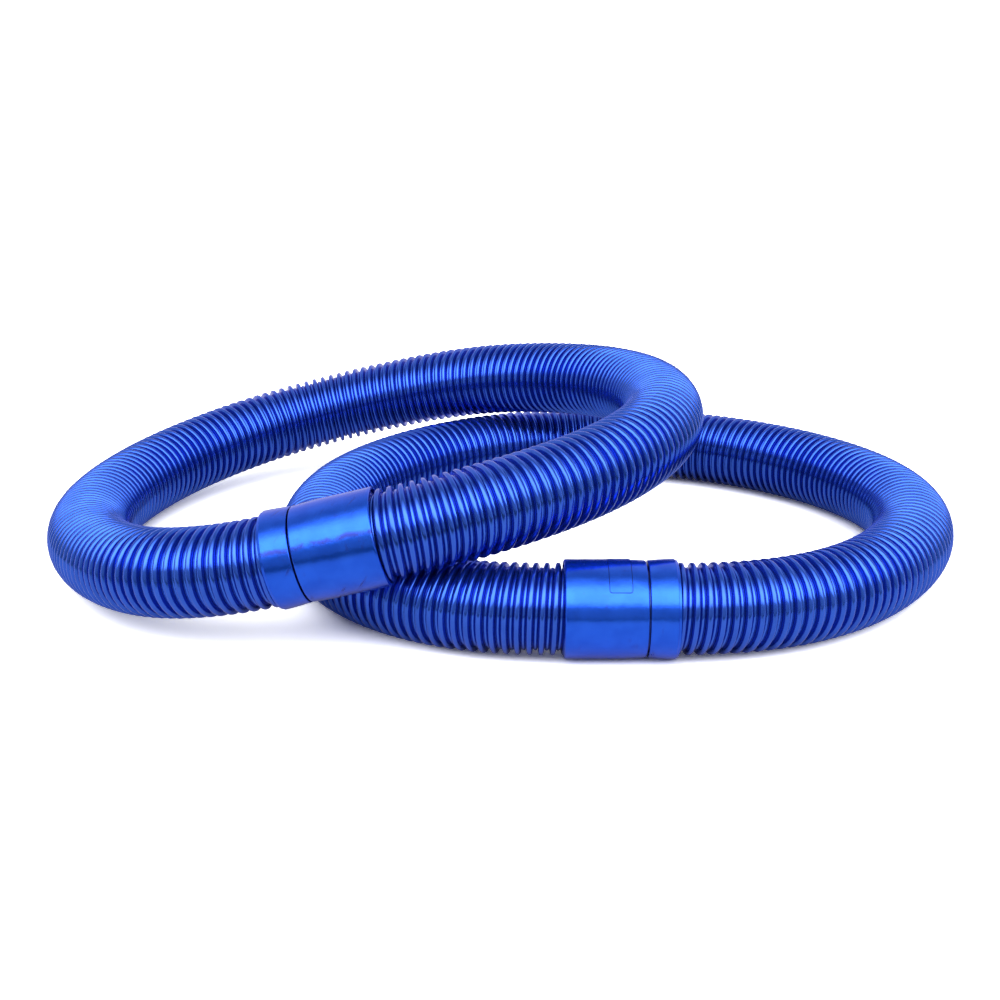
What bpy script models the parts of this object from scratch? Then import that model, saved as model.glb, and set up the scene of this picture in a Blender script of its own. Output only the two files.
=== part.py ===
"""Two sections of ribbed vacuum hose, each plugged into itself to make a ring.

The lower ring lies flat. The upper ring leans on it, its left side on the floor.
Each section is a hose with a socket cuff on one end and a plug cuff on the other.
A hose is modelled in two halves that meet at the far side of its ring, where it
flexes when its plug is drawn out of its socket.

Metres, +Z up. The origin is on the floor, below the middle of the two rings.
"""

import math

import bpy
import numpy as np
from mathutils import Matrix, Vector

# Driving dimensions.
HOSE_RADIUS = 0.0245  # to the crests of the ribs
BORE_RADIUS = 0.0190  # a 38 mm bore
CUFF_RADIUS = 0.0263
SEAM_RADIUS = 0.0257  # the cuffs draw in towards the joint between them
SOCKET_LENGTH = 0.0432
COLLAR_LENGTH = 0.0158
SPIGOT_LENGTH = 0.0280
SPIGOT_ROOT_RADIUS = 0.0229
SPIGOT_TIP_RADIUS = 0.0218
SPIGOT_CLEARANCE = 0.0006  # between the spigot and its socket
CUFF_BORE_CLEARANCE = 0.0003  # between a cuff and the hose screwed into it
SEAM_GAP = 0.0008  # between the collar and the socket's mouth
STEP_WALL = 0.0024  # the wall in each cuff that the hose's end stops against
EDGE = 0.0010  # the chamfer on a cuff's edges
COLLAR_NOSE = 0.0016  # the longer chamfer on a collar's hose side
TOUCH_GAP = 0.0003

# Facets and points: flats at the bottom of the cuffs make faces to stand on.
CUFF_STEPS = 40
HOSE_BEVEL_RESOLUTION = 6
HOSE_POINT_SPACING = 0.021

# The middle of each joint between a socket and its collar, and the way its plug leaves.
LOWER_SEAM = Vector((0.0755, -0.1645, CUFF_RADIUS))
LOWER_WAY_OUT = Vector((1.0, 0.0, 0.0))
UPPER_SEAM = Vector((-0.1034, -0.1650, 0.0574))
UPPER_WAY_OUT = Vector((-0.9693, 0.0393, -0.2426)).normalized()

# Each hose's route, between the straight stretches in its cuffs, from socket to plug.
LOWER_ROUTE = [
    (-0.0185, -0.1565, 0.0254),
    (-0.0625, -0.1300, 0.0247),
    (-0.0945, -0.0885, 0.0246),
    (-0.1095, -0.0395, 0.0246),
    (-0.1075, 0.0125, 0.0246),
    (-0.0915, 0.0615, 0.0246),
    (-0.0625, 0.1045, 0.0246),
    (-0.0235, 0.1385, 0.0246),
    (0.0235, 0.1600, 0.0246),
    (0.0745, 0.1665, 0.0246),
    (0.1255, 0.1585, 0.0246),
    (0.1725, 0.1355, 0.0246),
    (0.2115, 0.1015, 0.0246),
    (0.2395, 0.0585, 0.0246),
    (0.2525, 0.0095, 0.0246),
    (0.2475, -0.0415, 0.0246),
    (0.2255, -0.0885, 0.0246),
    (0.1905, -0.1280, 0.0247),
    (0.1465, -0.1540, 0.0254),
]
UPPER_ROUTE = [
    (-0.0175, -0.1575, 0.0768),
    (0.0275, -0.1305, 0.0827),
    (0.0645, -0.0925, 0.0868),
    (0.0895, -0.0475, 0.0898),
    (0.0995, 0.0035, 0.0906),
    (0.0925, 0.0545, 0.0892),
    (0.0685, 0.1005, 0.0855),
    (0.0305, 0.1355, 0.0800),
    (-0.0165, 0.1585, 0.0725),
    (-0.0655, 0.1690, 0.0622),
    (-0.1155, 0.1695, 0.0505),
    (-0.1635, 0.1555, 0.0402),
    (-0.2045, 0.1235, 0.0324),
    (-0.2335, 0.0805, 0.0274),
    (-0.2495, 0.0315, 0.0250),
    (-0.2520, -0.0205, 0.0250),
    (-0.2395, -0.0705, 0.0274),
    (-0.2130, -0.1155, 0.0326),
    (-0.1735, -0.1510, 0.0415),
]
STRAIGHT_PAST_CUFF = 0.0015
LINE_STEP = 0.001  # between the points of a finely drawn centreline
SQUARE_END = 0.004  # the straight stretch that squares a hose half's end

# Joint axes. Each hose flexes about its outer wall, opposite the middle of its spigot.
HINGE_STANDOFF = 0.0010  # from the hose's outer wall to the axis
UPPER_HINGE_LEAN = math.radians(8.0)  # lifts the swinging half clear of the lower ring

MATERIALS = {
    "hose": ((0.012, 0.066, 0.520, 1.0), 0.34, 0.55),
    "cuff": ((0.010, 0.085, 0.600, 1.0), 0.30, 0.60),
}


def clear_scene():
    for thing in list(bpy.data.objects):
        bpy.data.objects.remove(thing, do_unlink=True)


def new_collection(name):
    collection = bpy.data.collections.new(name)
    bpy.context.scene.collection.children.link(collection)
    return collection


def new_material(name, colour, roughness, metallic):
    made = bpy.data.materials.new(name)
    made.use_nodes = True
    surface = made.node_tree.nodes["Principled BSDF"]
    surface.inputs["Base Color"].default_value = colour
    surface.inputs["Roughness"].default_value = roughness
    surface.inputs["Metallic"].default_value = metallic
    made.diffuse_color = colour
    return made


def slopes(points, first, last, spans):
    """The tangents of the smooth curve through points whose end tangents are first and last."""
    count = len(points)
    system = np.eye(count)
    right = np.zeros((count, 3))
    right[0] = first
    right[-1] = last
    for i in range(1, count - 1):
        before, after = spans[i - 1], spans[i]
        system[i, i - 1 : i + 2] = after, 2 * (before + after), before
        right[i] = 3 * before / after * (points[i + 1] - points[i])
        right[i] += 3 * after / before * (points[i] - points[i - 1])
    return np.linalg.solve(system, right)


def smooth_line(points, first, last, spacing):
    """Points about spacing apart on one smooth curve through points."""
    points = np.array(points, float)
    spans = np.linalg.norm(np.diff(points, axis=0), axis=1)
    tangents = slopes(points, first, last, spans)
    ends = np.concatenate([[0.0], np.cumsum(spans)])
    along = np.linspace(0.0, ends[-1], 1 + math.ceil(ends[-1] / spacing))
    span = np.clip(np.searchsorted(ends, along, side="right") - 1, 0, len(spans) - 1)
    size = spans[span][:, None]
    t = (along - ends[span])[:, None] / size
    line = points[span] * (2 * t**3 - 3 * t**2 + 1)
    line += points[span + 1] * (3 * t**2 - 2 * t**3)
    line += size * tangents[span] * (t**3 - 2 * t**2 + t)
    line += size * tangents[span + 1] * (t**3 - t**2)
    return line


def hose_line(route, seam, way_out):
    """A hose's centreline, from its end in the socket cuff to its end in the plug cuff."""
    start = SOCKET_LENGTH + STRAIGHT_PAST_CUFF
    hose_start = SPIGOT_LENGTH + 2 * TOUCH_GAP + STEP_WALL
    hose_end = SEAM_GAP + STEP_WALL + TOUCH_GAP
    end = SEAM_GAP + COLLAR_LENGTH + STRAIGHT_PAST_CUFF
    points = [seam - way_out * hose_start, seam - way_out * start]
    points += [Vector(p) for p in route]
    points += [seam + way_out * end, seam + way_out * hose_end]
    return smooth_line([tuple(p) for p in points], -way_out, -way_out, LINE_STEP)


def far_side(line, seam, way_out):
    """Where a hose's two halves meet: on its far side, opposite the middle of its spigot."""
    middle = seam - way_out * SPIGOT_LENGTH / 2
    away = (line - np.array(middle)) @ np.array(way_out)
    far = line[:, 1] > 0
    return int(np.argmin(np.where(far, np.abs(away), np.inf)))


def spaced(line, spacing):
    """The line again, with points about spacing apart and the same ends."""
    lengths = np.linalg.norm(np.diff(line, axis=0), axis=1)
    along = np.concatenate([[0.0], np.cumsum(lengths)])
    at = np.linspace(0.0, along[-1], 1 + math.ceil(along[-1] / spacing))
    return np.stack([np.interp(at, along, line[:, k]) for k in range(3)], axis=1)


def hose_half(name, line, collection, material):
    """A hollow tube along the line, open at both ends."""
    shape = bpy.data.curves.new(name, "CURVE")
    shape.dimensions = "3D"
    shape.twist_mode = "Z_UP"
    shape.bevel_depth = HOSE_RADIUS
    shape.bevel_resolution = HOSE_BEVEL_RESOLUTION
    shape.use_fill_caps = False
    # A second point close to each end squares the end to the line.
    points = spaced(line, HOSE_POINT_SPACING)
    points = np.vstack([points[0], line[1], points[1:-1], line[-2], points[-1]])
    spline = shape.splines.new("POLY")
    spline.points.add(len(points) - 1)
    for point, place in zip(spline.points, points):
        point.co = (*place, 1.0)
    spline.use_smooth = True
    hose = bpy.data.objects.new(name, shape)
    collection.objects.link(hose)
    wall = hose.modifiers.new("wall", "SOLIDIFY")
    wall.thickness = HOSE_RADIUS - BORE_RADIUS
    wall.offset = -1.0
    shape.materials.append(material)
    return hose


def turned(name, outline, seam, way_out, collection, material):
    """A closed outline of (radius, height) pairs turned about the coupling's axis.

    The outline runs down its outer side. Heights are along the way out, from the seam.
    """
    shape = bpy.data.meshes.new(name)
    count = len(outline)
    # A facet's middle, not its edge, is at the stated radius, so the flats measure true.
    widen = 1.0 / math.cos(math.pi / CUFF_STEPS)
    points = [(radius * widen, 0.0, height) for radius, height in outline]
    shape.from_pydata(points, [(i, (i + 1) % count) for i in range(count)], [])
    cuff = bpy.data.objects.new(name, shape)
    collection.objects.link(cuff)
    screw = cuff.modifiers.new("turn", "SCREW")
    screw.steps = CUFF_STEPS
    screw.render_steps = CUFF_STEPS
    screw.use_merge_vertices = True
    screw.merge_threshold = 0.00001
    # Turned by half a facet from straight down, a flat and not an edge is at the bottom.
    across = Vector((0.0, 1.0, 0.0))
    down = (across.cross(way_out)).normalized()
    if down.z > 0:
        down = -down
    side = way_out.cross(down)
    frame = Matrix((down, side, way_out)).transposed().to_4x4()
    cuff.matrix_world = (
        Matrix.Translation(seam) @ frame @ Matrix.Rotation(math.pi / CUFF_STEPS, 4, "Z")
    )
    shape.materials.append(material)
    return cuff


def socket_outline():
    """The socket cuff: the hose screws in at its lower end, the spigot goes in at its mouth."""
    lip = -SOCKET_LENGTH
    shoulder = -(SPIGOT_LENGTH + TOUCH_GAP)
    hose_bore = HOSE_RADIUS + CUFF_BORE_CLEARANCE
    mouth = SPIGOT_ROOT_RADIUS + SPIGOT_CLEARANCE
    bottom = SPIGOT_TIP_RADIUS + SPIGOT_CLEARANCE
    return [
        (SEAM_RADIUS - EDGE, 0.0),
        (SEAM_RADIUS, -EDGE),
        (CUFF_RADIUS, -SOCKET_LENGTH / 2),
        (CUFF_RADIUS, lip + EDGE),
        (CUFF_RADIUS - EDGE / 2, lip),
        (hose_bore, lip),
        (hose_bore, shoulder - STEP_WALL),
        (BORE_RADIUS, shoulder - STEP_WALL),
        (BORE_RADIUS, shoulder),
        (bottom, shoulder),
        (mouth, -EDGE),
        (mouth + EDGE / 2, 0.0),
    ]


def plug_outline():
    """The plug cuff: a collar that the hose screws into, and the tapered spigot."""
    top = SEAM_GAP + COLLAR_LENGTH
    hose_bore = HOSE_RADIUS + CUFF_BORE_CLEARANCE
    return [
        (hose_bore + EDGE / 4, top),
        (CUFF_RADIUS, top - COLLAR_NOSE),
        (CUFF_RADIUS, SEAM_GAP + COLLAR_LENGTH / 3),
        (SEAM_RADIUS, SEAM_GAP + EDGE),
        (SEAM_RADIUS - EDGE, SEAM_GAP),
        (SPIGOT_ROOT_RADIUS, SEAM_GAP),
        (SPIGOT_TIP_RADIUS, -SPIGOT_LENGTH + EDGE),
        (SPIGOT_TIP_RADIUS - EDGE, -SPIGOT_LENGTH),
        (BORE_RADIUS, -SPIGOT_LENGTH),
        (BORE_RADIUS, SEAM_GAP + STEP_WALL),
        (hose_bore, SEAM_GAP + STEP_WALL),
        (hose_bore, top),
    ]


def new_axis(name, place, direction, collection):
    """An empty whose Z axis is a joint's axis."""
    axis = bpy.data.objects.new(name, None)
    axis.empty_display_type = "ARROWS"
    axis.empty_display_size = 0.03
    axis.rotation_mode = "QUATERNION"
    axis.location = place
    axis.rotation_quaternion = direction.to_track_quat("Z", "Y")
    collection.objects.link(axis)
    return axis


def hang(children, axis):
    """Parents the pieces to a joint's axis and leaves them where they are."""
    bpy.context.view_layer.update()
    for child in children:
        child.parent = axis
        child.matrix_parent_inverse = axis.matrix_world.inverted()


def build_section(name, seam, way_out, route, collection, materials):
    """One hose with its cuffs, by the names of its pieces, and where its halves meet."""
    line = hose_line(route, seam, way_out)
    split = far_side(line, seam, way_out)
    along = Vector(line[split + 1] - line[split - 1]).normalized()
    socket_line = line[: split + 1].copy()
    plug_line = line[split:].copy()
    # The two ends that meet are square to the same direction, a small gap apart.
    socket_line[-1] -= np.array(along) * TOUCH_GAP / 2
    socket_line[-2] = socket_line[-1] - np.array(along) * SQUARE_END
    plug_line[0] += np.array(along) * TOUCH_GAP / 2
    plug_line[1] = plug_line[0] + np.array(along) * SQUARE_END
    hose, cuff = materials["hose"], materials["cuff"]
    pieces = {
        "socket_hose": hose_half(
            f"{name}_hose_socket_half", socket_line, collection, hose
        ),
        "plug_hose": hose_half(f"{name}_hose_plug_half", plug_line, collection, hose),
        "socket": turned(
            f"{name}_socket_cuff", socket_outline(), seam, way_out, collection, cuff
        ),
        "plug": turned(
            f"{name}_plug_cuff", plug_outline(), seam, way_out, collection, cuff
        ),
    }
    outward = Vector((0.0, 1.0, 0.0))
    outward = (outward - along * outward.dot(along)).normalized()
    hinge = Vector(line[split]) + outward * (HOSE_RADIUS + HINGE_STANDOFF)
    return pieces, hinge


def build_lower(collection, materials):
    """The lower ring stands still, and its plug half swings out on the floor."""
    pieces, hinge = build_section(
        "lower", LOWER_SEAM, LOWER_WAY_OUT, LOWER_ROUTE, collection, materials
    )
    unplug = new_axis("lower_unplug", hinge, Vector((0.0, 0.0, 1.0)), collection)
    twist = new_axis("lower_twist", LOWER_SEAM, LOWER_WAY_OUT, collection)
    hang([pieces["plug_hose"], twist], unplug)
    hang([pieces["plug"]], twist)


def build_upper(collection, materials):
    """The upper ring lifts off the lower one, and its socket half swings up its slope."""
    pieces, hinge = build_section(
        "upper", UPPER_SEAM, UPPER_WAY_OUT, UPPER_ROUTE, collection, materials
    )
    upright = UPPER_WAY_OUT.cross(Vector((0.0, -1.0, 0.0))).normalized()
    if upright.z < 0:
        upright = -upright
    # Leaning the axis about the coupling keeps the spigot's way out straight.
    lean = Matrix.Rotation(-UPPER_HINGE_LEAN, 3, UPPER_WAY_OUT)
    lift = new_axis("upper_lift", UPPER_SEAM, Vector((0.0, 0.0, 1.0)), collection)
    unplug = new_axis("upper_unplug", hinge, lean @ upright, collection)
    twist = new_axis("upper_twist", UPPER_SEAM, UPPER_WAY_OUT, collection)
    hang([pieces["plug_hose"], unplug, twist], lift)
    hang([pieces["socket_hose"], pieces["socket"]], unplug)
    hang([pieces["plug"]], twist)


def build():
    clear_scene()
    collection = new_collection("vacuum_hose")
    materials = {name: new_material(name, *look) for name, look in MATERIALS.items()}
    build_lower(collection, materials)
    build_upper(collection, materials)
    bpy.context.view_layer.update()


build()
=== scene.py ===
"""The looks of two sections of ribbed vacuum hose, each plugged into itself to make a ring.

Each hose is one smooth tube wound with a helical rib, in place of its two CAD halves, and it is
not attached to their bodies. Each cuff is a turned shell with rounded edges.
"""

import math

import bmesh
import bpy
import numpy as np
from mathutils import Matrix, Vector, noise


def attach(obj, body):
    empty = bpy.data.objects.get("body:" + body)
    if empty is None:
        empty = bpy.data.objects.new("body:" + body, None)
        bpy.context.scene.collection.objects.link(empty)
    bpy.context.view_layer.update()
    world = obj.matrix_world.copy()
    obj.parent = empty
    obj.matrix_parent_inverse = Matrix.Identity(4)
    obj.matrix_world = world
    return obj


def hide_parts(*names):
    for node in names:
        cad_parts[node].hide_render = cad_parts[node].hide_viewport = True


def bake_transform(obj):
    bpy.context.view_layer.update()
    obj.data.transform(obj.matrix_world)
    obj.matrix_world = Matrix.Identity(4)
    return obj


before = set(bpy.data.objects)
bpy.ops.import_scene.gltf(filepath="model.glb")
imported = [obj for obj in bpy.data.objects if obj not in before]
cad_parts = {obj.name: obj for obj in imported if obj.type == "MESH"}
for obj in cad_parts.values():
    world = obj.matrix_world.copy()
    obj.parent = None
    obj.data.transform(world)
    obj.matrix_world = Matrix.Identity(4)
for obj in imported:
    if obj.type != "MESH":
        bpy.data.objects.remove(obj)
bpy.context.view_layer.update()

# The CAD part's own dimensions, in metres.
HOSE_RADIUS = 0.0245
BORE_RADIUS = 0.0190
CUFF_RADIUS = 0.0263
SEAM_RADIUS = 0.0257
SOCKET_LENGTH = 0.0432
COLLAR_LENGTH = 0.0158
SPIGOT_LENGTH = 0.0280
SPIGOT_ROOT_RADIUS = 0.0229
SPIGOT_TIP_RADIUS = 0.0218
SPIGOT_CLEARANCE = 0.0006
CUFF_BORE_CLEARANCE = 0.0003
SEAM_GAP = 0.0008
STEP_WALL = 0.0024
COLLAR_NOSE = 0.0016
TOUCH_GAP = 0.0003
STRAIGHT_PAST_CUFF = 0.0015
LINE_STEP = 0.001
HOSE_START = SPIGOT_LENGTH + 2 * TOUCH_GAP + STEP_WALL  # from the seam, into the socket
HOSE_END = SEAM_GAP + STEP_WALL + TOUCH_GAP  # from the seam, into the collar

LOWER_SEAM = Vector((0.0755, -0.1645, CUFF_RADIUS))
LOWER_WAY_OUT = Vector((1.0, 0.0, 0.0))
UPPER_SEAM = Vector((-0.1034, -0.1650, 0.0574))
UPPER_WAY_OUT = Vector((-0.9693, 0.0393, -0.2426)).normalized()

# Each hose's route, between the straight stretches in its cuffs, from socket to plug.
LOWER_ROUTE = [
    (-0.0185, -0.1565, 0.0254),
    (-0.0625, -0.1300, 0.0247),
    (-0.0945, -0.0885, 0.0246),
    (-0.1095, -0.0395, 0.0246),
    (-0.1075, 0.0125, 0.0246),
    (-0.0915, 0.0615, 0.0246),
    (-0.0625, 0.1045, 0.0246),
    (-0.0235, 0.1385, 0.0246),
    (0.0235, 0.1600, 0.0246),
    (0.0745, 0.1665, 0.0246),
    (0.1255, 0.1585, 0.0246),
    (0.1725, 0.1355, 0.0246),
    (0.2115, 0.1015, 0.0246),
    (0.2395, 0.0585, 0.0246),
    (0.2525, 0.0095, 0.0246),
    (0.2475, -0.0415, 0.0246),
    (0.2255, -0.0885, 0.0246),
    (0.1905, -0.1280, 0.0247),
    (0.1465, -0.1540, 0.0254),
]
UPPER_ROUTE = [
    (-0.0175, -0.1575, 0.0768),
    (0.0275, -0.1305, 0.0827),
    (0.0645, -0.0925, 0.0868),
    (0.0895, -0.0475, 0.0898),
    (0.0995, 0.0035, 0.0906),
    (0.0925, 0.0545, 0.0892),
    (0.0685, 0.1005, 0.0855),
    (0.0305, 0.1355, 0.0800),
    (-0.0165, 0.1585, 0.0725),
    (-0.0655, 0.1690, 0.0622),
    (-0.1155, 0.1695, 0.0505),
    (-0.1635, 0.1555, 0.0402),
    (-0.2045, 0.1235, 0.0324),
    (-0.2335, 0.0805, 0.0274),
    (-0.2495, 0.0315, 0.0250),
    (-0.2520, -0.0205, 0.0250),
    (-0.2395, -0.0705, 0.0274),
    (-0.2130, -0.1155, 0.0326),
    (-0.1735, -0.1510, 0.0415),
]

# The rib's helix and its section. A share of a pitch says where a point of the section is.
PITCH = 0.00593
PITCH_SWING = 0.00030  # the pitch opens and closes twice round a ring
GROOVE_RADIUS = 0.0206
WEB_RADIUS = 0.0220
RIB_HALF_WIDTH = 0.285
RIB_SQUARENESS = 3.4  # 2 makes an ellipse, and more makes a flatter top with steeper sides
WEB_HALF_WIDTH = 0.19
WEB_SQUARENESS = 3.2
WEB_MIDDLE = 0.5
WEB_FADE = 1.6  # how quickly the web's own colour comes up from its edges
SIDES = 32
TURN_SAMPLES = 4000
BORE_RING_SPACING = 0.012
INSIDE_LIP = 0.0074  # how far a hose's mesh goes into each cuff, with its helical end

WIDEST_PITCH = {"lower": 0.41, "upper": 0.15}  # metres along each hose's centreline


# ---------------------------------------------------------------- camera

CAMERA_EYE = Vector((-0.0010, -0.9138, 0.3288))
CAMERA_AIM = Vector((-0.0010, 0.1034, 0.0))
CAMERA_LENS = 55.09  # in millimetres, and so is the sensor
CAMERA_SENSOR = 36.0


def add_camera():
    data = bpy.data.cameras.new("camera")
    data.lens = CAMERA_LENS
    data.sensor_width = CAMERA_SENSOR
    data.clip_start = 0.01
    data.clip_end = 50.0
    camera = bpy.data.objects.new("camera", data)
    camera.location = CAMERA_EYE
    camera.rotation_mode = "QUATERNION"
    camera.rotation_quaternion = (CAMERA_AIM - CAMERA_EYE).to_track_quat("-Z", "Y")
    bpy.context.scene.collection.objects.link(camera)
    bpy.context.scene.camera = camera


# ---------------------------------------------------------------- centrelines


def slopes(points, first, last, spans):
    """The tangents of the smooth curve through points whose end tangents are first and last."""
    count = len(points)
    system = np.eye(count)
    right = np.zeros((count, 3))
    right[0] = first
    right[-1] = last
    for i in range(1, count - 1):
        before, after = spans[i - 1], spans[i]
        system[i, i - 1 : i + 2] = after, 2 * (before + after), before
        right[i] = 3 * before / after * (points[i + 1] - points[i])
        right[i] += 3 * after / before * (points[i] - points[i - 1])
    return np.linalg.solve(system, right)


def smooth_line(points, first, last, spacing):
    """Points about spacing apart on one smooth curve through points."""
    points = np.array(points, float)
    spans = np.linalg.norm(np.diff(points, axis=0), axis=1)
    tangents = slopes(points, first, last, spans)
    ends = np.concatenate([[0.0], np.cumsum(spans)])
    along = np.linspace(0.0, ends[-1], 1 + math.ceil(ends[-1] / spacing))
    span = np.clip(np.searchsorted(ends, along, side="right") - 1, 0, len(spans) - 1)
    size = spans[span][:, None]
    t = (along - ends[span])[:, None] / size
    line = points[span] * (2 * t**3 - 3 * t**2 + 1)
    line += points[span + 1] * (3 * t**2 - 2 * t**3)
    line += size * tangents[span] * (t**3 - 2 * t**2 + t)
    line += size * tangents[span + 1] * (t**3 - t**2)
    return line


def hose_line(route, seam, way_out):
    """A hose's centreline, from its end in the socket cuff to its end in the plug cuff."""
    start = SOCKET_LENGTH + STRAIGHT_PAST_CUFF
    end = SEAM_GAP + COLLAR_LENGTH + STRAIGHT_PAST_CUFF
    points = [seam - way_out * HOSE_START, seam - way_out * start]
    points += [Vector(p) for p in route]
    points += [seam + way_out * end, seam + way_out * HOSE_END]
    return smooth_line([tuple(p) for p in points], -way_out, -way_out, LINE_STEP)


class Centreline:
    """A line that can be asked for its place and its across and up directions at a length."""

    def __init__(self, points):
        steps = np.linalg.norm(np.diff(points, axis=0), axis=1)
        self.points = points
        self.lengths = np.concatenate([[0.0], np.cumsum(steps)])
        ahead = np.gradient(points, axis=0)
        ahead /= np.linalg.norm(ahead, axis=1)[:, None]
        across = np.cross([0.0, 0.0, 1.0], ahead)
        across /= np.linalg.norm(across, axis=1)[:, None]
        self.across = across
        self.up = np.cross(ahead, across)

    @property
    def length(self):
        return self.lengths[-1]

    def read(self, values, at):
        return np.stack([np.interp(at, self.lengths, values[:, k]) for k in range(3)], axis=-1)

    def shell(self, at, angle, radius):
        """Points at these lengths, angles and radii. A growing angle turns the left-hand way."""
        outward = self.read(self.across, at) * np.cos(angle)[..., None]
        outward -= self.read(self.up, at) * np.sin(angle)[..., None]
        return self.read(self.points, at) + outward * np.asarray(radius)[..., None]


# ---------------------------------------------------------------- hoses


def dome(share, half_width, squareness):
    """The height, from 0 to 1, of a round-topped bump at a share of a pitch from its middle."""
    inside = np.clip(1.0 - np.abs(share / half_width) ** squareness, 0.0, 1.0)
    return np.sqrt(inside)


def section_radius(share):
    """The hose's outer radius at a share of a pitch, with the rib's crest at 0."""
    from_rib = (share + 0.5) % 1.0 - 0.5
    from_web = (share - WEB_MIDDLE + 0.5) % 1.0 - 0.5
    rib = (HOSE_RADIUS - GROOVE_RADIUS) * dome(from_rib, RIB_HALF_WIDTH, RIB_SQUARENESS)
    web = (WEB_RADIUS - GROOVE_RADIUS) * dome(from_web, WEB_HALF_WIDTH, WEB_SQUARENESS)
    return GROOVE_RADIUS + np.maximum(rib, web)


def section_shares():
    """Where the section is sampled: closely on the steep sides, widely on the crests."""
    rib = [0.12, 0.20, 0.25, 0.278]
    web = [0.300, 0.322, 0.40]
    half = rib + web
    return np.array([0.0] + half + [WEB_MIDDLE] + [1.0 - share for share in reversed(half)])


def section_web():
    """How much each sample of the section belongs to the web's crest."""
    from_web = np.abs(section_shares() - WEB_MIDDLE)
    return np.clip(WEB_FADE * (1.0 - from_web / WEB_HALF_WIDTH), 0.0, 1.0)


def section_groove():
    """How much painted shade each sample of the section gets: how far down it is in the grooves
    beside the rib.
    """
    depth = (section_radius(section_shares()) - GROOVE_RADIUS) / (WEB_RADIUS - GROOVE_RADIUS)
    return np.clip(1.0 - depth, 0.0, 1.0)


def turns_at(line, widest):
    """Lengths along the line, and the number of the rib's turns up to each."""
    at = np.linspace(0.0, line.length, TURN_SAMPLES)
    swing = PITCH_SWING * np.cos(4 * math.pi * (at - widest) / line.length)
    density = 1.0 / (PITCH + swing)
    turns = np.concatenate([[0.0], np.cumsum((density[1:] + density[:-1]) / 2 * np.diff(at))])
    return at, turns


def ribbed_grid(line, widest, first, last):
    """The outer surface as rows that follow the helix, each one turn long."""
    at, turns = turns_at(line, widest)
    start, end = np.interp([first, last], at, turns)
    shares = section_shares()
    count = int(math.floor((end - start - 1.0) * len(shares)))
    row = np.arange(count)
    turn = start + row // len(shares) + shares[row % len(shares)]
    radius = section_radius(shares[row % len(shares)])
    around = np.arange(SIDES) / SIDES
    place = np.interp(turn[:, None] + around[None, :], turns, at)
    angle = np.broadcast_to(2 * math.pi * around, place.shape)
    radius = np.broadcast_to(radius[:, None], place.shape)
    return line.shell(place, angle, radius), radius, place, len(shares)


def bore_grid(line, first, last):
    """The smooth inner surface, as rings."""
    at = np.linspace(first, last, 2 + int((last - first) / BORE_RING_SPACING))
    place = np.broadcast_to(at[:, None], (len(at), SIDES))
    angle = np.broadcast_to(2 * math.pi * np.arange(SIDES) / SIDES, place.shape)
    return line.shell(place, angle, np.full(place.shape, BORE_RADIUS)), at


def ribbed_faces(rows, per_turn):
    faces = []
    for r in range(rows - 1):
        for j in range(SIDES - 1):
            a = r * SIDES + j
            faces.append((a, a + 1, a + 1 + SIDES, a + SIDES))
        if r + per_turn + 1 < rows:
            a, b = r * SIDES + SIDES - 1, (r + per_turn) * SIDES
            faces.append((a, b, b + SIDES, a + SIDES))
    return faces


def bore_faces(rings, base):
    faces = []
    for r in range(rings - 1):
        for j in range(SIDES):
            a, b = base + r * SIDES + j, base + r * SIDES + (j + 1) % SIDES
            faces.append((a, a + SIDES, b + SIDES, b))
    return faces


def end_faces(rows, per_turn, rings, base):
    """Closes the wall at both ends, with the small step that a helix ends in."""
    last, inner_last = (rows - 1) * SIDES, base + (rings - 1) * SIDES
    faces = []
    for j in range(SIDES):
        k = (j + 1) % SIDES
        outer = per_turn * SIDES if k == 0 else k
        faces.append((base + j, base + k, outer, j))
        outer = (rows - 1 - per_turn) * SIDES + j if k == 0 else last + j
        faces.append((outer, last + k, inner_last + k, inner_last + j))
    for r in range(per_turn):
        faces.append((base, r * SIDES, (r + 1) * SIDES))
        a = (rows - 1 - per_turn + r) * SIDES + SIDES - 1
        faces.append((inner_last + SIDES - 1, a, a + SIDES))
    return faces


def make_hose(name, line, widest, material):
    """The ribbed hose, from just inside its socket cuff's lip to just inside its collar's."""
    socket_lip = SOCKET_LENGTH - HOSE_START
    collar_lip = line.length - (COLLAR_LENGTH - STEP_WALL - TOUCH_GAP)
    first, last = socket_lip - INSIDE_LIP, collar_lip + INSIDE_LIP
    outer, radius, place, per_turn = ribbed_grid(line, widest, first, last)
    bore, rings = bore_grid(line, first, place[-1].max())
    rows, base = len(outer), outer.shape[0] * SIDES
    vertices = np.concatenate([outer.reshape(-1, 3), bore.reshape(-1, 3)])
    faces = ribbed_faces(rows, per_turn) + bore_faces(len(rings), base)
    faces += end_faces(rows, per_turn, len(rings), base)
    shape = bpy.data.meshes.new(name)
    shape.from_pydata(vertices.tolist(), [], faces)
    # The web's own tone, and how much painted shade each row gets down in the grooves.
    for key, values in (("web", section_web()), ("groove_shade", section_groove())):
        rows_of_one = np.resize(values, rows)
        marked = np.zeros(len(vertices), np.float32)
        marked[:base] = np.repeat(rows_of_one, SIDES)
        shape.attributes.new(key, "FLOAT", "POINT").data.foreach_set("value", marked)
    square_up(shape)
    hose = add_object(name, shape, material)
    return hose, [list(p) for p in line.read(line.points, rings)]


# ---------------------------------------------------------------- mesh helpers


def square_up(shape):
    """Makes every face point out and shades the shape smooth."""
    mesh = bmesh.new()
    mesh.from_mesh(shape)
    bmesh.ops.recalc_face_normals(mesh, faces=mesh.faces)
    mesh.to_mesh(shape)
    mesh.free()
    shape.shade_smooth()


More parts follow.
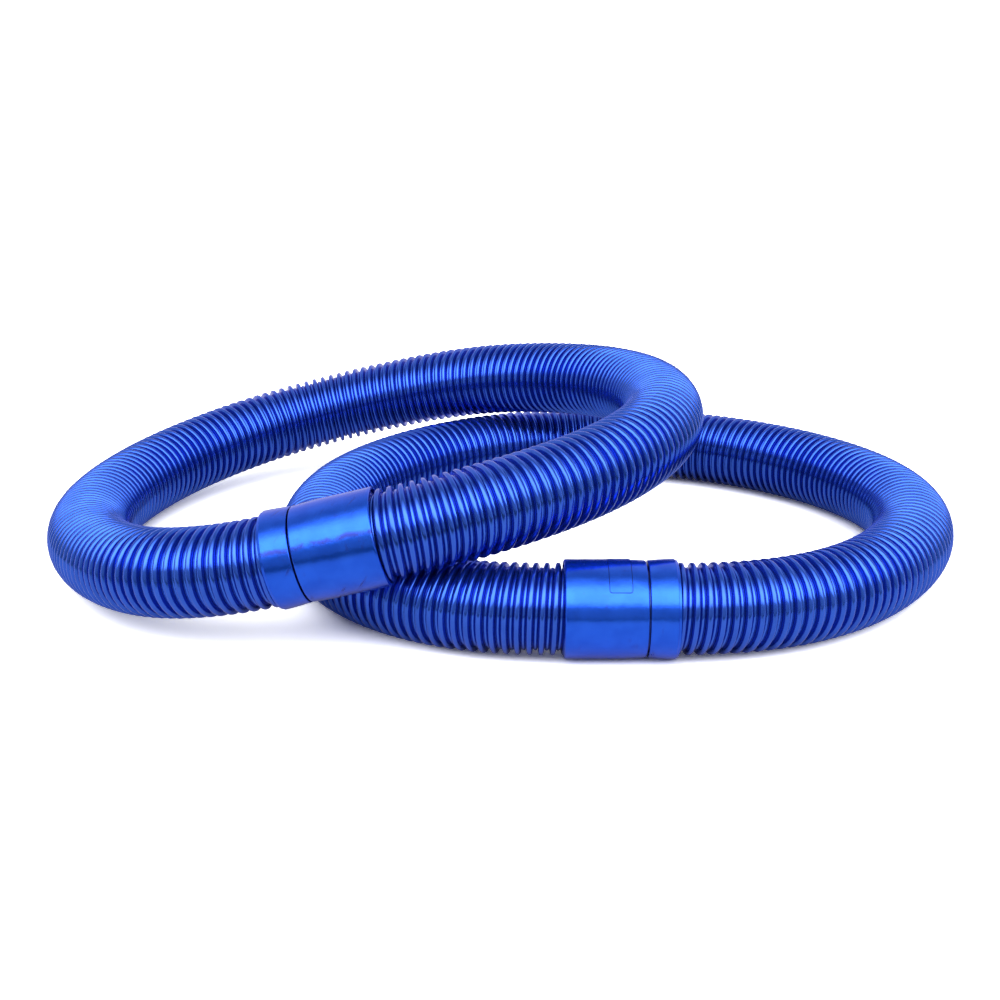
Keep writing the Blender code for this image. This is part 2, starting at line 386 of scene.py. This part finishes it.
def add_object(name, shape, material):
    made = bpy.data.objects.new(name, shape)
    shape.materials.append(material)
    bpy.context.scene.collection.objects.link(made)
    return made


def arc(radius, height, size, first, last, steps=6):
    """Points of a round corner: its centre's radius and height, its size and its angles."""
    angles = np.radians(np.linspace(first, last, steps + 1))
    return [(radius + size * math.cos(a), height + size * math.sin(a)) for a in angles]


def coupling_matrix(seam, way_out):
    """The frame of a cuff: Z along the way out, X up and across it."""
    up = Vector((0.0, 0.0, 1.0))
    up = (up - way_out * up.dot(way_out)).normalized()
    side = way_out.cross(up)
    return Matrix.Translation(seam) @ Matrix((up, side, way_out)).transposed().to_4x4()


# ---------------------------------------------------------------- cuffs

CUFF_SIDES = 128
LIP_ROUND = 0.0012
SEAM_ROUND = 0.0007
COLLAR_RADIUS = 0.0265  # a collar widens a little towards its hose
NOSE_RADIUS = 0.0252  # the outer edge of its end face
NOSE_BEVEL = 0.0003
NOSE_STEP = 0.0002
MOUTH_BEVEL = 0.0005
SPIGOT_ROUND = 0.0008
SWELL_LENGTH = 0.018  # from a socket cuff's rounded mouth to where it has its full radius
SOCKET_POCKET = 0.0078  # how deep the pocket for the hose's end is, behind the lip
COLLAR_POCKET = 0.0076
WAVE = 0.00006  # how far a cuff's moulded surface wanders
WAVES_PER_METRE = 70.0
WAVY_FROM = 0.0250  # a cuff's surface is true nearer its axis than this
CUFF_SHARP_EDGE = math.radians(18)


def socket_outline():
    """The socket cuff's section, from its mouth over its outside to its lip and its inside."""
    lip = -SOCKET_LENGTH
    shoulder = -(SPIGOT_LENGTH + TOUCH_GAP)
    full = -(SEAM_ROUND + SWELL_LENGTH)
    pocket = HOSE_RADIUS + CUFF_BORE_CLEARANCE
    mouth = SPIGOT_ROOT_RADIUS + SPIGOT_CLEARANCE
    outline = [(mouth + MOUTH_BEVEL, 0.0)]
    outline += arc(SEAM_RADIUS - SEAM_ROUND, -SEAM_ROUND, SEAM_ROUND, 90, 0)
    for share in np.linspace(0.08, 1.0, 14):
        eased = math.sin(share * math.pi / 2)
        radius = SEAM_RADIUS + (CUFF_RADIUS - SEAM_RADIUS) * eased
        outline.append((radius, -SEAM_ROUND - share * SWELL_LENGTH))
    for share in np.linspace(0.1, 0.98, 12):
        outline.append((CUFF_RADIUS, full + share * (lip + LIP_ROUND - full)))
    outline += arc(CUFF_RADIUS - LIP_ROUND, lip + LIP_ROUND, LIP_ROUND, 0, -90)
    outline += [(pocket, lip), (pocket, lip + SOCKET_POCKET), (BORE_RADIUS, lip + SOCKET_POCKET)]
    outline += [(BORE_RADIUS, shoulder), (SPIGOT_TIP_RADIUS + SPIGOT_CLEARANCE, shoulder)]
    outline += [(mouth, -2 * MOUTH_BEVEL)]
    return outline


def plug_outline():
    """The plug cuff's section, from its spigot's tip to its collar's nose and its inside."""
    top = SEAM_GAP + COLLAR_LENGTH
    nose = top - COLLAR_NOSE
    pocket = HOSE_RADIUS + CUFF_BORE_CLEARANCE
    outline = [(BORE_RADIUS, -SPIGOT_LENGTH)]
    tip = (SPIGOT_TIP_RADIUS - SPIGOT_ROUND, -SPIGOT_LENGTH + SPIGOT_ROUND)
    outline += arc(*tip, SPIGOT_ROUND, -90, 0)
    outline += [(SPIGOT_ROOT_RADIUS, SEAM_GAP)]
    outline += arc(SEAM_RADIUS - SEAM_ROUND, SEAM_GAP + SEAM_ROUND, SEAM_ROUND, -90, 0)
    for share in np.linspace(0.1, 1.0, 10):
        radius = SEAM_RADIUS + (COLLAR_RADIUS - SEAM_RADIUS) * math.sin(share * math.pi / 2)
        outline.append((radius, SEAM_GAP + SEAM_ROUND + share * (nose - SEAM_GAP - SEAM_ROUND)))
    outline += [(COLLAR_RADIUS - NOSE_BEVEL, nose + NOSE_STEP)]
    outline += [(NOSE_RADIUS + 2 * NOSE_BEVEL, top - NOSE_STEP)]
    outline += [(NOSE_RADIUS + NOSE_BEVEL, top), (pocket, top)]
    outline += [(pocket, top - COLLAR_POCKET), (BORE_RADIUS, top - COLLAR_POCKET)]
    return outline


def in_seam(radius, height):
    """Whether a point of a cuff's outline is down in the gap between the two cuffs."""
    return abs(height - SEAM_GAP / 2) < SEAM_GAP and radius < SEAM_RADIUS - SEAM_ROUND / 2


def turned_cuff(name, outline, matrix, seed, material):
    """A closed outline of radii and heights turned about the coupling's axis."""
    count = len(outline)
    # Points down in the seam's gap get painted shade.
    dark = [float(in_seam(radius, height)) for radius, height in outline]
    vertices = []
    for j in range(CUFF_SIDES):
        angle = 2 * math.pi * j / CUFF_SIDES
        for radius, height in outline:
            place = Vector((radius * math.cos(angle), radius * math.sin(angle), height))
            wander = noise.noise(place * WAVES_PER_METRE + Vector((seed, 0.0, 0.0)))
            reach = 1.0 + WAVE * wander / radius if radius > WAVY_FROM else 1.0
            vertices.append((place.x * reach, place.y * reach, place.z))
    faces = []
    for j in range(CUFF_SIDES):
        k = (j + 1) % CUFF_SIDES
        for i in range(count):
            n = (i + 1) % count
            faces.append((j * count + i, k * count + i, k * count + n, j * count + n))
    shape = bpy.data.meshes.new(name)
    shape.from_pydata(vertices, [], faces)
    groove_shade = shape.attributes.new("groove_shade", "FLOAT", "POINT").data
    groove_shade.foreach_set("value", dark * CUFF_SIDES)
    square_up(shape)
    shape.set_sharp_from_angle(angle=CUFF_SHARP_EDGE)
    cuff = add_object(name, shape, material)
    cuff.matrix_world = matrix
    return cuff


PAD_LENGTHS = (-0.0205, -0.0083)  # along the way out, from the seam
PAD_HALF_ANGLE = math.radians(43)
PAD_CORNER = 0.0016
PAD_RELIEF = 0.00022
PAD_GROOVE = 0.00034  # the width of the shallow groove moulded round the pad
PAD_GROOVE_RISE = 0.00002  # the groove's floor is this far over the cuff
PAD_LOOPS = 10
PAD_CORNER_STEPS = 8
PAD_SHORT_STEPS = 8
PAD_LONG_STEPS = 26
PAD_DEPTH = 0.0008  # how far the plate's underside is inside the cuff's wall
PAD_SHARP_EDGE = math.radians(35)
LOWER_PAD_ANGLE = math.radians(7.5)  # round the cuff from its top
UPPER_PAD_ANGLE = math.radians(100)


def pad_outline(inset):
    """The blank pad's edge, in metres along the cuff and round it, from its middle."""
    wide = (PAD_LENGTHS[1] - PAD_LENGTHS[0]) / 2 - inset
    tall = CUFF_RADIUS * PAD_HALF_ANGLE - inset
    corner = PAD_CORNER - inset
    signs = [(1, 1), (-1, 1), (-1, -1), (1, -1)]
    corners = [
        arc(x * (wide - corner), y * (tall - corner), corner, 90 * i, 90 * i + 90, PAD_CORNER_STEPS)
        for i, (x, y) in enumerate(signs)
    ]
    outline = []
    for i, steps in enumerate([PAD_SHORT_STEPS, PAD_LONG_STEPS] * 2):
        here, after = np.array(corners[i][-1]), np.array(corners[(i + 1) % 4][0])
        outline += corners[i]
        outline += [tuple(here + (after - here) * k / steps) for k in range(1, steps)]
    return outline


def pad_loops():
    """The plate's loops from the middle of its face to that of its underside.

    Each has its inset, its scale, its rise over the cuff and its painted shade, full in the groove
    round the pad and on its underside.
    """
    face, floor, under = PAD_RELIEF, PAD_GROOVE_RISE, -PAD_DEPTH
    loops = [(PAD_GROOVE, k / PAD_LOOPS, face, 0.0) for k in range(1, PAD_LOOPS)]
    loops += [(PAD_GROOVE, 1.0, face, 0.0), (PAD_GROOVE * 0.8, 1.0, floor, 1.0)]
    loops += [(0.0, 1.0, floor, 1.0), (0.0, 1.0, under, 1.0)]
    loops += [(0.0, k / PAD_LOOPS, under, 1.0) for k in range(PAD_LOOPS - 1, 0, -1)]
    return loops


def make_pad(name, matrix, middle_angle, material):
    """A thin plate of rounded corners, curved round the cuff and barely proud of it."""
    middle = sum(PAD_LENGTHS) / 2
    vertices, dark = [], []

    def add_point(along, round_it, rise, darkness):
        angle = middle_angle + round_it / CUFF_RADIUS
        radius = CUFF_RADIUS + rise
        vertices.append((radius * math.cos(angle), radius * math.sin(angle), middle + along))
        dark.append(darkness)

    add_point(0.0, 0.0, PAD_RELIEF, 0.0)
    loops = pad_loops()
    for inset, scale, rise, darkness in loops:
        outline = pad_outline(inset)
        for along, round_it in outline:
            add_point(scale * along, scale * round_it, rise, darkness)
    add_point(0.0, 0.0, -PAD_DEPTH, 1.0)
    count, faces = len(outline), []
    for i in range(count):
        n = (i + 1) % count
        faces.append((0, 1 + i, 1 + n))
        for loop in range(len(loops) - 1):
            a = 1 + loop * count
            faces.append((a + i, a + count + i, a + count + n, a + n))
        a = 1 + (len(loops) - 1) * count
        faces.append((a + i, len(vertices) - 1, a + n))
    shape = bpy.data.meshes.new(name)
    shape.from_pydata(vertices, [], faces)
    # Painted shade in the groove round the pad.
    shape.attributes.new("groove_shade", "FLOAT", "POINT").data.foreach_set("value", dark)
    square_up(shape)
    shape.set_sharp_from_angle(angle=PAD_SHARP_EDGE)
    pad = add_object(name, shape, material)
    pad.matrix_world = matrix
    return pad


# ---------------------------------------------------------------- materials


class Nodes:
    """A short way to write a node tree."""

    def __init__(self, tree):
        self.tree = tree

    def add(self, kind, inputs=(), **settings):
        node = self.tree.nodes.new(kind)
        for key, value in settings.items():
            setattr(node, key, value)
        for key, value in dict(inputs).items():
            self.feed(node, key, value)
        return node

    def feed(self, node, key, value):
        if isinstance(value, bpy.types.NodeSocket):
            self.tree.links.new(value, node.inputs[key])
        else:
            node.inputs[key].default_value = value

    def math(self, operation, a, b=0.0, clamp=False):
        node = self.add("ShaderNodeMath", {0: a, 1: b}, operation=operation, use_clamp=clamp)
        return node.outputs[0]

    def noise(self, vector, scale, detail=3.0, roughness=0.5):
        inputs = {"Vector": vector, "Scale": scale, "Detail": detail, "Roughness": roughness}
        return self.add("ShaderNodeTexNoise", inputs).outputs["Fac"]

    def stretch(self, vector, scale):
        inputs = {0: vector, 1: scale}
        return self.add("ShaderNodeVectorMath", inputs, operation="MULTIPLY").outputs[0]

    def ramp(self, value, low, high, to_low=0.0, to_high=1.0):
        inputs = {0: value, 1: low, 2: high, 3: to_low, 4: to_high}
        node = self.add("ShaderNodeMapRange", inputs, interpolation_type="SMOOTHSTEP")
        return node.outputs[0]

    def mix(self, share, a, b):
        node = self.add("ShaderNodeMix", {0: share, 6: a, 7: b}, data_type="RGBA")
        return node.outputs[2]

    def bump(self, height, distance, strength=1.0, normal=None):
        inputs = {"Height": height, "Distance": distance, "Strength": strength}
        if normal is not None:
            inputs["Normal"] = normal
        return self.add("ShaderNodeBump", inputs).outputs[0]


def grey(level):
    return (level, level, level, 1.0)


def new_material(name):
    made = bpy.data.materials.new(name)
    made.use_nodes = True
    made.node_tree.nodes.clear()
    return made, Nodes(made.node_tree)


def pearl(nodes, colour, roughness, normal, skin):
    """Pearl-pigmented plastic: a blue metallic body under a clear, weakly reflecting skin."""
    surface = nodes.add(
        "ShaderNodeBsdfPrincipled",
        {
            "Base Color": colour,
            "Roughness": roughness,
            "Normal": normal,
            "Metallic": METALLIC,
            "Specular Tint": EDGE_TINT,
            "Coat Weight": skin,
            "Coat IOR": SKIN_IOR,
            "Coat Roughness": SKIN_ROUGHNESS,
            "Coat Normal": normal,
        },
    )
    nodes.add("ShaderNodeOutputMaterial", {"Surface": surface.outputs[0]})


# What the cuffs and the hoses are made of. A skin is how much clear skin is over the body.
METALLIC = 0.9
SKIN_IOR = 1.33
SKIN_ROUGHNESS = 0.16
CUFF_SKIN = 0.55
HOSE_SKIN = 0.42
CUFF_ROUGHNESS = (0.19, 0.24)
HOSE_ROUGHNESS = (0.13, 0.21)
CUFF_BLUE = (0.009, 0.098, 0.710, 1.0)
CUFF_DEEP = (0.005, 0.080, 0.630, 1.0)
HOSE_MIDDLE = (0.023, 0.088, 0.500, 1.0)
HOSE_BLUE = (0.029, 0.104, 0.570, 1.0)
# Painted shade for the hose's grooves.
HOSE_GROOVE_SHADE = (0.000, 0.018, 0.220, 1.0)
WEB_PALE = (0.035, 0.130, 0.600, 1.0)
# Real scuffs, and the painted shade of a worn cuff's streak.
SCUFF_AND_SHADE = (0.016, 0.016, 0.170, 1.0)
# Painted shade for the seam's gap and the groove round a pad.
GAP_SHADE = (0.000, 0.004, 0.060, 1.0)
EDGE_TINT = (0.620, 0.580, 0.950, 1.0)  # of reflections that graze the surface
# The streak runs where the lower edge of the reflected light band falls, as painted shade.
STREAK_ANGLE = math.radians(-65)  # round the cuff from its top, towards its front
STREAK_HALF_WIDTH = 0.085  # in radians, and so is how far the streak wanders
STREAK_WANDER = 0.16
MARK_SLANT = 0.020  # metres along the cuff for each radian round it


def rubbing_and_shade(nodes, place):
    """A worn cuff's marks: a broken dark streak along it, partly rubbing and partly painted shade
    along the lower edge of the reflected light band, and patches of slanting scuff marks.
    """
    axes = nodes.add("ShaderNodeSeparateXYZ", {0: place}).outputs
    turn = nodes.math("ARCTAN2", axes["Y"], axes["X"])
    wander = nodes.noise(nodes.stretch(place, (20.0, 20.0, 120.0)), 1.0, 3.0)
    drift = nodes.math("MULTIPLY", nodes.math("SUBTRACT", wander, 0.5), STREAK_WANDER)
    off_line = nodes.math("SUBTRACT", nodes.math("ADD", turn, drift), STREAK_ANGLE)
    off_line = nodes.math("ABSOLUTE", off_line)
    streak = nodes.ramp(off_line, STREAK_HALF_WIDTH, 0.01)
    patchy = nodes.ramp(nodes.noise(place, 160.0, 4.0, 0.6), 0.38, 0.58)
    streak = nodes.math("MULTIPLY", streak, patchy)
    slant = nodes.math("ADD", nodes.math("MULTIPLY", turn, MARK_SLANT), axes["Z"])
    marks = nodes.add("ShaderNodeCombineXYZ", {0: slant, 1: turn}).outputs[0]
    marks = nodes.noise(nodes.stretch(marks, (420.0, 1.6, 1.0)), 1.0, 3.0, 0.5)
    marks = nodes.ramp(marks, 0.62, 0.74)
    marks = nodes.math("MULTIPLY", marks, nodes.ramp(nodes.noise(place, 60.0, 2.0), 0.45, 0.60))
    return nodes.math("MAXIMUM", streak, nodes.math("MULTIPLY", marks, 0.8))


def cuff_material(name, worn_and_shaded):
    """Pearl-blue moulded plastic, with fine scratches round it, scuffs, a faint waviness and
    painted shade in the seam's gap and round the pad; a worn one adds a streak that is partly
    painted shade.
    """
    made, nodes = new_material(name)
    place = nodes.add("ShaderNodeTexCoord").outputs["Object"]
    clouds = nodes.noise(place, 90.0, 4.0)
    dents = nodes.noise(place, 420.0, 3.0, 0.6)
    flakes = nodes.noise(place, 5200.0, 1.0)
    scratches = nodes.noise(nodes.stretch(place, (70.0, 70.0, 2600.0)), 1.0, 4.0, 0.7)
    scuffs_and_shade = nodes.noise(nodes.stretch(place, (55.0, 150.0, 190.0)), 1.0, 5.0, 0.6)
    scuffs_and_shade = nodes.math("MULTIPLY", nodes.ramp(scuffs_and_shade, 0.60, 0.72), 0.4)
    # A worn cuff's streak is partly rubbing and partly painted shade.
    if worn_and_shaded:
        scuffs_and_shade = nodes.math("MAXIMUM", scuffs_and_shade, nodes.math("MULTIPLY", rubbing_and_shade(nodes, place), 0.75))
    groove_shade = nodes.add("ShaderNodeAttribute", attribute_name="groove_shade").outputs["Fac"]
    colour = nodes.mix(nodes.ramp(clouds, 0.35, 0.65), CUFF_BLUE, CUFF_DEEP)
    # Scuffs, with a worn cuff's streak of painted shade.
    colour = nodes.mix(scuffs_and_shade, colour, SCUFF_AND_SHADE)
    # Painted shade in the seam's gap and in the groove round the pad.
    colour = nodes.mix(nodes.math("MULTIPLY", groove_shade, 0.85), colour, GAP_SHADE)
    roughness = nodes.ramp(scratches, 0.3, 0.7, *CUFF_ROUGHNESS)
    roughness = nodes.math("ADD", roughness, nodes.math("MULTIPLY", scuffs_and_shade, 0.15))
    normal = nodes.bump(scratches, 0.0000007, 0.5)
    normal = nodes.bump(flakes, 0.000003, 0.5, normal)
    normal = nodes.bump(dents, 0.00003, 0.6, normal)
    normal = nodes.bump(clouds, 0.00032, 0.6, normal)
    pearl(nodes, colour, roughness, normal, CUFF_SKIN)
    return made


def hose_material(name):
    """Pearl-blue flexible plastic: glossy ribs, a paler web between them and painted shade in the
    grooves.
    """
    made, nodes = new_material(name)
    place = nodes.add("ShaderNodeTexCoord").outputs["Object"]
    web = nodes.add("ShaderNodeAttribute", attribute_name="web").outputs["Fac"]
    groove_shade = nodes.add("ShaderNodeAttribute", attribute_name="groove_shade").outputs["Fac"]
    clouds = nodes.noise(place, 60.0, 4.0)
    flakes = nodes.noise(place, 4200.0, 1.0)
    colour = nodes.mix(nodes.ramp(clouds, 0.35, 0.65), HOSE_BLUE, HOSE_MIDDLE)
    colour = nodes.mix(nodes.math("MULTIPLY", web, 0.6, True), colour, WEB_PALE)
    # Painted shade: the grooves beside the rib are darkened in the colour.
    colour = nodes.mix(nodes.math("MULTIPLY", groove_shade, 0.9), colour, HOSE_GROOVE_SHADE)
    roughness = nodes.ramp(clouds, 0.3, 0.7, *HOSE_ROUGHNESS)
    normal = nodes.bump(flakes, 0.000001, 0.4)
    normal = nodes.bump(clouds, 0.0001, 0.4, normal)
    pearl(nodes, colour, roughness, normal, HOSE_SKIN)
    return made


PAPER = (1.70, 1.78)  # its darkest and lightest, as the camera sees it
TABLE_EDGE = (-0.62, -0.34)  # the depths, in metres, between which the table darkens
TABLE_LEVELS = (0.06, 0.56)


def floor_material():
    """White sweep paper. Light and reflections meet a dimmer table that darkens to the front."""
    made, nodes = new_material("floor")
    place = nodes.add("ShaderNodeTexCoord").outputs["Object"]
    grain = nodes.noise(place, 30.0, 3.0)
    seen = nodes.mix(grain, *[grey(level) for level in PAPER])
    depth = nodes.add("ShaderNodeSeparateXYZ", {0: place}).outputs["Y"]
    table = nodes.ramp(depth, *TABLE_EDGE, *TABLE_LEVELS)
    reflected = nodes.add("ShaderNodeCombineColor", {0: table, 1: table, 2: table}).outputs[0]
    camera_ray = nodes.add("ShaderNodeLightPath").outputs["Is Camera Ray"]
    colour = nodes.mix(camera_ray, reflected, seen)
    normal = nodes.bump(grain, 0.0001, 0.1)
    paper = nodes.add("ShaderNodeBsdfDiffuse", {"Color": colour, "Normal": normal})
    nodes.add("ShaderNodeOutputMaterial", {"Surface": paper.outputs[0]})
    return made


# ---------------------------------------------------------------- stage and light

FLOOR_SIZE = 24.0
FLOOR_DROP = 0.0003
WORLD_BRIGHTEST = 5.0
BACKDROP = 1.1
# The light that comes down from each angle, from the camera's side over the top to the far
# side: degrees, and the share of the brightest.
LIGHT_BY_ANGLE = [
    (-20, 0.10),
    (0, 0.10),
    (24, 0.11),
    (36, 0.85),
    (58, 0.95),
    (68, 0.78),
    (78, 0.42),
    (90, 0.20),
    (99, 0.09),
    (113, 0.12),
    (128, 0.18),
    (180, 0.20),
]
SIDE_LIGHT = 0.16
SIDE_FROM = (0.70, 0.92)  # how far sideways a direction points where the side light comes in
SIDE_BELOW = (0.75, 0.45)  # and how far up it points where it comes in


def add_floor():
    mesh = bmesh.new()
    bmesh.ops.create_grid(mesh, x_segments=1, y_segments=1, size=FLOOR_SIZE / 2)
    shape = bpy.data.meshes.new("floor")
    mesh.to_mesh(shape)
    mesh.free()
    floor = add_object("floor", shape, floor_material())
    floor.location.z = -FLOOR_DROP


def add_world():
    """A studio: a wide soft light over the camera, dim sides and a backdrop seen as white."""
    world = bpy.data.worlds.new("studio")
    world.use_nodes = True
    world.node_tree.nodes.clear()
    nodes = Nodes(world.node_tree)
    way = nodes.add("ShaderNodeTexCoord").outputs["Generated"]
    axes = nodes.add("ShaderNodeSeparateXYZ", {0: way}).outputs
    toward = nodes.math("MULTIPLY", axes["Y"], -1.0)
    angle = nodes.math("ARCTAN2", axes["Z"], toward)
    share = nodes.add("ShaderNodeMapRange", {0: angle, 1: -math.pi, 2: math.pi}).outputs[0]
    ramp = nodes.add("ShaderNodeValToRGB", {0: share})
    stops = ramp.color_ramp.elements
    while len(stops) > 1:
        stops.remove(stops[-1])
    stops[0].position = 0.0
    for degrees, level in LIGHT_BY_ANGLE:
        stops.new(0.5 + degrees / 360.0).color = grey(level)
    sideways = nodes.ramp(nodes.math("ABSOLUTE", axes["X"]), *SIDE_FROM)
    low = nodes.ramp(axes["Z"], *SIDE_BELOW)
    sideways = nodes.math("MULTIPLY", sideways, low)
    light = nodes.mix(sideways, ramp.outputs["Color"], grey(SIDE_LIGHT))
    lit = nodes.add("ShaderNodeBackground", {"Color": light, "Strength": WORLD_BRIGHTEST})
    plain = nodes.add("ShaderNodeBackground", {"Color": grey(1.0), "Strength": BACKDROP})
    seen = nodes.add("ShaderNodeLightPath").outputs["Is Camera Ray"]
    both = nodes.add("ShaderNodeMixShader", {0: seen, 1: lit.outputs[0], 2: plain.outputs[0]})
    nodes.add("ShaderNodeOutputWorld", {"Surface": both.outputs[0]})
    bpy.context.scene.world = world
    bpy.context.scene.view_settings.view_transform = "Standard"


# ---------------------------------------------------------------- sections


def add_section(name, seam, way_out, route, bodies, materials, pad_angle, seed):
    """One section: its hose, left unattached, and its cuffs and pad on the bodies of its socket and
    plug.
    """
    line = Centreline(hose_line(route, seam, way_out))
    matrix = coupling_matrix(seam, way_out)
    hose, path = make_hose(f"{name}_hose", line, WIDEST_PITCH[name], materials["hose"])
    plug = turned_cuff(f"{name}_plug", plug_outline(), matrix, seed, materials["cuff"])
    socket = turned_cuff(f"{name}_socket", socket_outline(), matrix, seed + 9, materials["cuff"])
    pad = make_pad(f"{name}_socket_pad", matrix, pad_angle, materials["cuff"])

    if bodies["still"] == "socket":
        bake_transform(hose)
    else:
        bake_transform(hose)
    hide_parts(f"{name}_hose_socket_half", f"{name}_hose_plug_half")
    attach(socket, bodies["socket"])
    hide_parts(f"{name}_socket_cuff")
    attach(pad, bodies["socket"])
    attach(plug, bodies["plug"])
    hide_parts(f"{name}_plug_cuff")


def section_bodies(name, still):
    """The bodies of one section, and which of its two sides stays still as it is unplugged."""
    return {
        "still": still,
        "socket": f"{name}_socket_side",
        "plug_hose": f"{name}_plug_side",
        "plug": f"{name}_plug_end",
    }


def main():
    add_camera()
    hose = hose_material("ribbed_hose")
    add_section(
        "lower",
        LOWER_SEAM,
        LOWER_WAY_OUT,
        LOWER_ROUTE,
        section_bodies("lower", still="socket"),
        {"hose": hose, "cuff": cuff_material("moulded_cuff", worn_and_shaded=False)},
        LOWER_PAD_ANGLE,
        seed=1,
    )
    add_section(
        "upper",
        UPPER_SEAM,
        UPPER_WAY_OUT,
        UPPER_ROUTE,
        section_bodies("upper", still="plug"),
        {"hose": hose, "cuff": cuff_material("marked_and_shaded_cuff", worn_and_shaded=True)},
        UPPER_PAD_ANGLE,
        seed=4,
    )
    add_floor()
    add_world()


main()
